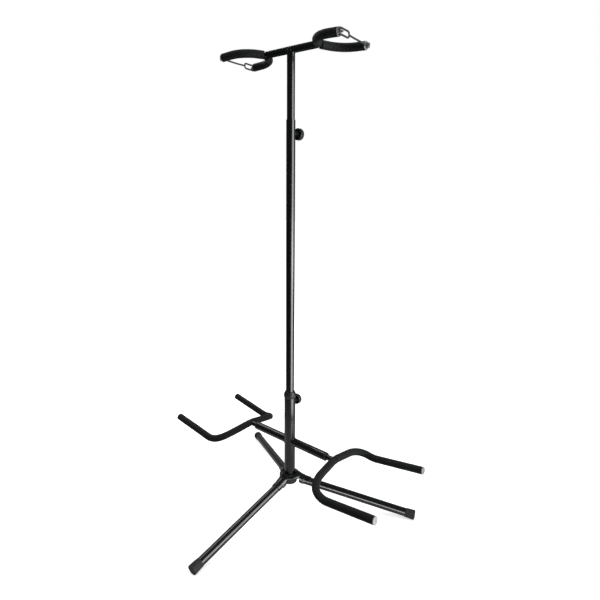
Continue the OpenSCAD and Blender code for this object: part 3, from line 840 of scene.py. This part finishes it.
def sleeves():
    for seed, (side_name, side) in enumerate(SIDES.items()):
        for letter, flip in (("a", np.eye(4)), ("b", FLIP_Y)):
            number = 10 * seed + (3 if letter == "b" else 0)
            place = cradle_place(side_name) @ flip
            piece = sleeve(f"cradle_{side_name}_sleeve_{letter}", CRADLE_HALF, CRADLE_BENDS, 0.4, (7.5, 2, 0),
                           CRADLE_ROD_R, CRADLE_FOAM_R, place, number + 1.3)
            finish_piece(piece, "foam", f"cradle_{side_name}", f"cradle_{side_name}_foam_{letter}")
            place = yoke_place(side) @ flip
            piece = sleeve(f"yoke_{side_name}_sleeve_{letter}", YOKE_HALF, YOKE_BENDS, 4, (8.7, 0, 2.5),
                           YOKE_ROD_R, YOKE_FOAM_R, place, number + 5.7)
            finish_piece(piece, "foam", "upper", f"yoke_{side_name}_foam_{letter}")


# ---------- caps ----------
def cradle_caps(side_name):
    """Flat end caps with a shallow dish and a groove."""
    tip, before = np.array(CRADLE_HALF[-1]), np.array(CRADLE_HALF[-2])
    outward = unit(tip - before)
    r, start, face = CRADLE_FOAM_R, CAP_GAP, CAP_GAP + CAP_LENGTH
    profile = turned([(start, 0), (start, r - 0.15), (face - 0.5, r), (face, r - 0.55), (face, 7.6),
                      (face - 0.3, 7.3), (face - 0.3, 6.9), (face, 6.6), (face, 3.3), (face - 0.7, 2.8),
                      (face - 0.7, 0)],
                     [0, 0.2, 0.5, 0.4, 0.15, 0.1, 0.1, 0.15, 0.4, 0.3, 0], 0.8)
    parts = []
    for flip in (np.eye(4), FLIP_Y):
        place = cradle_place(side_name) @ flip @ axis_place(tip * MM, outward, (0, 0, 1))
        parts.append(lathe("cap", profile, place, 96))
    piece = join(f"cradle_{side_name}_end_caps", parts)
    finish_piece(piece, "grey_plastic", f"cradle_{side_name}", f"cradle_{side_name}_caps")


STRAP_PLANE = 168.8
STRAP_REACH = STRAP_PLANE - YOKE_TIP
STRAP_R = 2.0


def yoke_tip_place(side, y):
    return yoke_place(side) @ axis_place((YOKE_TIP * MM, y * MM, YOKE_HEIGHT), (1, 0, 0), (0, 0, 1))


def yoke_caps():
    """Pale rings on the four tips."""
    r, bore, start, face = YOKE_FOAM_R, CAP_BORE_R, CAP_GAP, CAP_GAP + CAP_LENGTH
    profile = turned([(start, 7), (start, r - 0.1), (face - 0.5, r), (face, r - 0.6), (face, bore + 0.4),
                      (face - 0.4, bore), (start, bore), (start, 7)],
                     [0, 0.2, 0.5, 0.4, 0.3, 0.2, 0.2, 0], 0.6)
    parts = []
    for side in SIDES.values():
        for y in (-YOKE_HALF_WIDTH, YOKE_HALF_WIDTH):
            parts.append(lathe("ring", profile, yoke_tip_place(side, y), 96))
    piece = join("yoke_end_rings", parts)
    finish_piece(piece, "grey_plastic", "upper", "yoke_caps")


def strap_hooks():
    """Pegs with a head for the straps' eyelets."""
    base, head = CAP_BORE_R - CAP_GAP, STRAP_REACH + STRAP_R + 1
    profile = turned([(CAP_GAP, 0), (CAP_GAP, base), (CAP_LENGTH, base), (CAP_LENGTH, 2.3),
                      (head - 0.4, 1.95), (head, 3.0), (head + 1.5, 2.6), (head + 1.5, 0)],
                     [0, 0.2, 0.4, 0.6, 0.4, 0.5, 0.6, 0], 0.6)
    parts = [lathe("peg", profile, yoke_tip_place(side, -YOKE_HALF_WIDTH), 64) for side in SIDES.values()]
    piece = join("strap_pegs", parts)
    finish_piece(piece, "grey_plastic", "upper", "strap_hooks")


def strap_hinges():
    """Brackets with a boss, two lugs and a pin for the straps' eyes."""
    base, face = CAP_BORE_R - CAP_GAP, CAP_LENGTH + HINGE_BOSS
    profile = turned([(CAP_GAP, 0), (CAP_GAP, base), (face, base), (face, 0)], [0, 0.2, 0.4, 0], 0.6)
    pin = turned([(-5.4, 0), (-5.4, 2), (5.4, 2), (5.4, 0)], [0, 0.5, 0.5, 0], 0.8)
    parts = []
    for side in SIDES.values():
        parts.append(lathe("base", profile, yoke_tip_place(side, YOKE_HALF_WIDTH), 64))
        centre = (STRAP_PLANE * MM, YOKE_HALF_WIDTH * MM, YOKE_HEIGHT)
        pin_place = yoke_place(side) @ axis_place(centre, (0, 0, 1), (1, 0, 0))
        parts.append(lathe("pin", pin, pin_place, 48))
        parts += [lug(low, STRAP_REACH, pin_place) for low in (-5, 3)]
    piece = join("strap_brackets", parts)
    finish_piece(piece, "grey_plastic", "upper", "strap_hinges")


def lug(low, reach, place):
    """A rounded tab from the cap's face to round the pin."""
    width, thick = 3.6, 2.0
    root = -reach + CAP_LENGTH + CAP_GAP
    outline = [(root, width), (0.0, width)]
    outline += [(width * math.sin(t), width * math.cos(t)) for t in np.linspace(0, math.pi, 19)[1:-1]]
    outline += [(0.0, -width), (root, -width)]
    outline = rounded_line(outline + outline[:1], [0.0] * (len(outline) + 1), 1.0)[:-1]
    centre = outline.mean(axis=0)
    rings = []
    for inset, height in ((1.2, 0), (0.35, 0), (0, 0.35), (0, thick - 0.35), (0.35, thick), (1.2, thick)):
        shrunk = centre + (outline - centre) * (1 - inset / np.linalg.norm(outline - centre, axis=1))[:, None]
        rings.append(np.column_stack([shrunk, np.full(len(shrunk), low + height)]) * MM)
    start = np.append(centre, low) * MM
    end = np.append(centre, low + thick) * MM
    return skin("lug", rings, place, start=start, end=end)


# ---------- straps ----------
def cord(points, radius, first, closed=False, flat=1.0):
    """Round or flattened cord along a line."""
    points = np.array(points)
    if closed:
        ahead = np.roll(points, -1, axis=0) - np.roll(points, 1, axis=0)
        ahead /= np.linalg.norm(ahead, axis=1)[:, None]
        side_a = np.tile(unit(np.array(first, float)), (len(points), 1))
        side_b = np.cross(ahead, side_a)
    else:
        side_a, side_b = side_vectors(points, first)
    angle = np.linspace(0, TAU, 20, endpoint=False)
    rings = points[:, None] + radius * (np.cos(angle)[None, :, None] * side_a[:, None] * flat
                                        + np.sin(angle)[None, :, None] * side_b[:, None])
    if closed:
        return skin("cord", rings, closed=True)
    return skin("cord", rings, start=points[0], end=points[-1])


def strap(side_name, side):
    """Rubber strap: an eye on the hinge pin, a thin cord and a long eyelet that slips over the peg."""
    height = YOKE_HEIGHT / MM
    x, half, far, near = STRAP_PLANE, 5.8, -61.5, -25.5
    hinge_y = YOKE_HALF_WIDTH
    loop = [(x, (near + far) / 2, height + half), (x, far, height + half), (x, far, height - half),
            (x, near, height - half), (x, near, height + half), (x, (near + far) / 2, height + half)]
    eyelet = rounded_line(loop, [0, 4.2, 4.2, 5.6, 5.6, 0], 0.6)[:-1] * MM
    sag = 1.0
    cord_y = np.linspace(near - 0.5, hinge_y - 2.6, 90)
    along = (cord_y - cord_y[0]) / (cord_y[-1] - cord_y[0])
    line = np.stack([np.full(90, x), cord_y, height - sag * 4 * along * (1 - along)], axis=1) * MM
    parts = [cord(eyelet, STRAP_R * MM, (1, 0, 0), closed=True, flat=0.95),
             cord(line, 1.95 * MM, (1, 0, 0), flat=0.9)]
    eye = turned([(-2.6, 2.9), (-2.6, 3.5), (2.6, 3.5), (2.6, 2.25), (-2.6, 2.25), (-2.6, 2.9)],
                 [0, 0.7, 0.7, 0.3, 0.3, 0], 0.6)
    parts.append(lathe("eye", eye, axis_place((x * MM, hinge_y * MM, height * MM), (0, 0, 1), (1, 0, 0)), 64))
    piece = join(f"strap_{side_name}_rubber", parts)
    fuse(piece, 0.3 * MM)
    matrix = Matrix(yoke_place(side).tolist())
    piece.data.transform(matrix)
    finish_piece(piece, "strap_rubber", f"strap_{side_name}", f"strap_{side_name}")


# ---------- clamp knobs ----------
KNOB_START = 22.5
KNOB_LENGTH = 13.0
KNOB_R = 14.0


def knob(name, body, node):
    """Round hand knob, hollow towards the post, with a boss, six ribs and a fluted grip."""
    low, high = low_high(node)
    height = (low[2] + high[2]) / 2
    boss, rim, cavity, bore = 5.5, KNOB_R - 2.5, 9.0, 3.05
    spokes = [(cavity, boss + 0.2 + k * (rim - boss - 0.4) / 9) for k in range(10)]
    profile = [(8.0, 0), (8.0, bore), (0.0, bore), (0.0, boss), (cavity, boss)] + spokes
    profile += [(cavity, rim), (1.0, rim), (0.6, rim + 0.4), (0.6, KNOB_R - 1.0), (1.8, KNOB_R),
                (KNOB_LENGTH - 3.0, KNOB_R), (KNOB_LENGTH - 1.0, KNOB_R - 1.0), (KNOB_LENGTH, KNOB_R - 3.0),
                (KNOB_LENGTH - 0.7, KNOB_R - 6.5), (KNOB_LENGTH - 0.7, 0)]
    rounding = [0, 0.2, 0.3, 0.5, 0] + [0] * 10 + [0, 0.4, 0.3, 0.6, 1.2, 1.6, 1.6, 1.2, 1.2, 0]
    profile = turned(profile, rounding, 0.9)

    def shape(h, r, a):
        millimetres = r / MM
        floor = (h > (cavity - 0.05) * MM) & (millimetres > boss + 0.1) & (millimetres < rim - 0.1)
        floor &= h < (cavity + 0.05) * MM
        nearest = np.abs((a * 6 / TAU + 0.5) % 1 - 0.5) * TAU / 6
        rib = 1 - smooth_step(0.55, 0.95, millimetres * np.sin(nearest))
        grip = (millimetres > KNOB_R - 0.9) * smooth_step(1.8, 3.4, h / MM)
        grip = grip * (1 - smooth_step(KNOB_LENGTH - 3.2, KNOB_LENGTH - 1.6, h / MM))
        flute = 0.5 - 0.5 * np.cos(24 * a)
        return h - floor * rib * 6.6 * MM, r - grip * 0.45 * MM * (1 - flute ** 0.5)

    place = axis_place((0, KNOB_START * MM, height), (0, 1, 0), (1, 0, 0))
    piece = lathe(name, profile, place, 288, shape)
    finish_piece(piece, "black_plastic", body, node)


def screw(name, body, node):
    """Zinc-plated set screw with a rolled thread and a chamfered tip."""
    low, high = low_high(node)
    height = (low[2] + high[2]) / 2
    start, end = low[1] / MM, high[1] / MM
    radius, pitch, depth = 3.0, 1.0, 0.32
    steps = np.arange(start, end, 0.1)
    profile = [(start, 0), (start, radius - 0.9)] + [(s, radius) for s in steps[8:]]
    profile += [(end, radius), (end, 0)]

    def thread(h, r, a):
        phase = (h / MM / pitch - a / TAU) % 1
        cut = np.abs(2 * phase - 1) * depth * MM
        return h, r - cut * (r > (radius - 0.2) * MM)

    place = axis_place((0, 0, height), (0, 1, 0), (1, 0, 0))
    piece = lathe(name, np.array(profile) * MM, place, 40, thread)
    finish_piece(piece, "zinc_steel", body, node)


# ---------- studio ----------
AWAY = (-0.64, 0.77, 0.0)          # level direction from the camera to the post
GLEAM_TURN = math.radians(2)      # direction and strength of the streak of light that lies along the floor
GLEAM = 7.5


def floor():
    """Pale floor that fades into the background. It carries painted light: a strip that glows only in
    reflections stands in for a lamp's reflection on the floor, and the floor shows a painted darker tone to
    reflections and bounce light than to the camera.
    """
    size = 9.0
    shaped = bmesh.new()
    bmesh.ops.create_grid(shaped, x_segments=2, y_segments=2, size=size)
    mesh = bpy.data.meshes.new("floor")
    shaped.to_mesh(mesh)
    shaped.free()
    obj = bpy.data.objects.new("floor", mesh)
    bpy.context.scene.collection.objects.link(obj)
    m = Recipe("floor_paper")
    tone = m.cloud(1.3, 2)
    m.set(Roughness=0.9, Specular_IOR_Level=0.1)
    m.set(Normal=m.relief(m.cloud(900, 3), 0.05, 0.1 * MM))
    away = m.node("ShaderNodeVectorMath", {0: m.place}, operation="LENGTH").outputs["Value"]
    path = m.node("ShaderNodeLightPath")
    seen, mirrored = path.outputs["Is Camera Ray"], path.outputs["Is Glossy Ray"]
    flat = m.node("ShaderNodeSeparateXYZ", {0: m.place})
    turn = m.math("ARCTAN2", flat.outputs["Y"], flat.outputs["X"])
    off_centre = m.math("ABSOLUTE", m.math("SUBTRACT", turn, GLEAM_TURN))
    # painted reflection: a strip of the floor glows, for glossy rays only, where a lamp's reflection would lie
    gleam = m.math("MULTIPLY", m.spread(away, 0.3, 0.7), m.spread(off_centre, 0.25, 0.6, GLEAM, 0.0))
    gleam = m.math("MULTIPLY", mirrored, gleam)
    lift = m.math("MULTIPLY", seen, m.spread(away, 0.4, 1.4, 0.6, 1.0))
    m.set(Emission_Color=grey(1.0), Emission_Strength=m.math("ADD", lift, gleam))
    # painted shade: the floor is darker to reflections (0.45 near the post, 0.03 further out) and to bounce
    # light (0.3) than it is to the camera
    reflected = m.blend(m.spread(away, 0.35, 0.8), grey(0.45), grey(0.03))
    off_camera_shade = m.blend(mirrored, grey(0.3), reflected)
    m.set(Base_Color=m.blend(seen, off_camera_shade, m.blend(tone, grey(0.8), grey(0.82))))
    mesh.materials.append(m.material)


def soft_box(name, position, target, width, height, power, glossy=True, diffuse=True):
    light = bpy.data.lights.new(name, "AREA")
    light.shape = "RECTANGLE"
    light.size, light.size_y = width, height
    light.energy = power
    obj = bpy.data.objects.new(name, light)
    obj.location = position
    obj.rotation_euler = (Vector(target) - Vector(position)).to_track_quat("-Z", "Y").to_euler()
    obj.visible_camera = False
    obj.visible_glossy = glossy
    obj.visible_diffuse = diffuse
    bpy.context.scene.collection.objects.link(obj)
    return obj


def lights():
    """Large light on the right, soft light from above, and a low front light for the legs and hub alone."""
    soft_box("key", (2.95, 0.56, 1.03), (0, 0, 1.03), 2.3, 2.06, 96)
    soft_box("above_left", (-1.1, 0.3, 1.8), (0, 0, 0.2), 0.7, 0.7, 6)
    soft_box("overhead", (-0.1, 0.1, 2.6), (0, 0, 0.4), 1.8, 1.8, 34, glossy=False)
    soft_box("fill_left", (-1.35, -1.2, 1.3), (0, 0, 0.4), 0.9, 0.9, 10, glossy=False)
    low_front = soft_box("low_front", (0.8, -1.25, 0.24), (0, 0, 0.05), 1.8, 0.34, 20, diffuse=False)
    lit = bpy.data.collections.new("lit_by_low_front")
    for obj in bpy.context.scene.objects:
        if obj.type == "MESH" and obj.name.startswith(("leg_", "hub_")):
            lit.objects.link(obj)
    low_front.light_linking.receiver_collection = lit


def world():
    """White to the camera; to the object's gloss nearly black on the camera's side and dim grey behind."""
    made = bpy.data.worlds.new("studio")
    made.use_nodes = True
    bpy.context.scene.world = made
    tree = made.node_tree
    tree.nodes.clear()

    def node(kind, inputs=None, **settings):
        new = tree.nodes.new(kind)
        for key, value in settings.items():
            setattr(new, key, value)
        for key, value in (inputs or {}).items():
            if isinstance(value, bpy.types.NodeSocket):
                tree.links.new(value, new.inputs[key])
            else:
                new.inputs[key].default_value = value
        return new

    def shade(strength):
        return node("ShaderNodeBackground", {"Color": grey(1.0), "Strength": strength}).outputs[0]

    path = node("ShaderNodeLightPath")
    direction = node("ShaderNodeTexCoord").outputs["Generated"]
    away = node("ShaderNodeVectorMath", {0: direction, 1: AWAY}, operation="DOT_PRODUCT").outputs["Value"]
    behind = node("ShaderNodeMapRange", {"Value": away, "From Min": 0.35, "From Max": 0.9, "To Min": 0.03,
                                         "To Max": 0.25}).outputs["Result"]
    glossy, seen = path.outputs["Is Glossy Ray"], path.outputs["Is Camera Ray"]
    reflected = node("ShaderNodeMixShader", {0: glossy, 1: shade(0.25), 2: shade(behind)}).outputs[0]
    shown = node("ShaderNodeMixShader", {0: seen, 1: reflected, 2: shade(1.0)}).outputs[0]
    node("ShaderNodeOutputWorld", {"Surface": shown})


CAMERA_PLACE = (0.7509, -0.8682, 0.8663)
CAMERA_YAW = math.radians(129.6)
CAMERA_PITCH = math.radians(-13.58)
CAMERA_ROLL = math.radians(0.48)


def camera():
    """Seen from the front right, from a little below the yokes."""
    yaw, pitch, roll = CAMERA_YAW, CAMERA_PITCH, CAMERA_ROLL
    ahead = np.array([math.cos(pitch) * math.cos(yaw), math.cos(pitch) * math.sin(yaw), math.sin(pitch)])
    level = np.array([math.sin(yaw), -math.cos(yaw), 0])
    above = np.cross(level, ahead)
    right = level * math.cos(roll) + above * math.sin(roll)
    up = above * math.cos(roll) - level * math.sin(roll)
    matrix = np.eye(4)
    matrix[:3, 0], matrix[:3, 1], matrix[:3, 2] = right, up, -ahead
    matrix[:3, 3] = CAMERA_PLACE
    data = bpy.data.cameras.new("camera")
    data.sensor_width = 36
    data.lens = 27.43
    data.clip_end = 60
    obj = bpy.data.objects.new("camera", data)
    obj.matrix_world = Matrix(matrix.tolist())
    bpy.context.scene.collection.objects.link(obj)
    bpy.context.scene.camera = obj


dress_cad_nodes()
collar()
cradle_bush("right")
cradle_bush("left")
hub_core()
hub()
base_welds()
nut_weld("lower_nut_weld", "lower_clamp_nut", BASE_R, "base", 1.9)
nut_weld("upper_nut_weld", "upper_clamp_nut", MIDDLE_R, "middle", 4.2)
upper_welds()
for leg_name, leg_angle in LEG_ANGLES.items():
    foot(leg_name, leg_angle)
sleeves()
yoke_caps()
strap_hooks()
strap_hinges()
for side_name, side in SIDES.items():
    cradle_caps(side_name)
    strap(side_name, side)
knob("lower_knob_moulding", "lower_knob", "lower_clamp_knob")
knob("upper_knob_moulding", "upper_knob", "upper_clamp_knob")
screw("lower_screw_thread", "lower_screw", "lower_clamp_screw")
screw("upper_screw_thread", "upper_screw", "upper_clamp_screw")
floor()
lights()
world()
camera()
bpy.context.scene.view_settings.view_transform = "Standard"
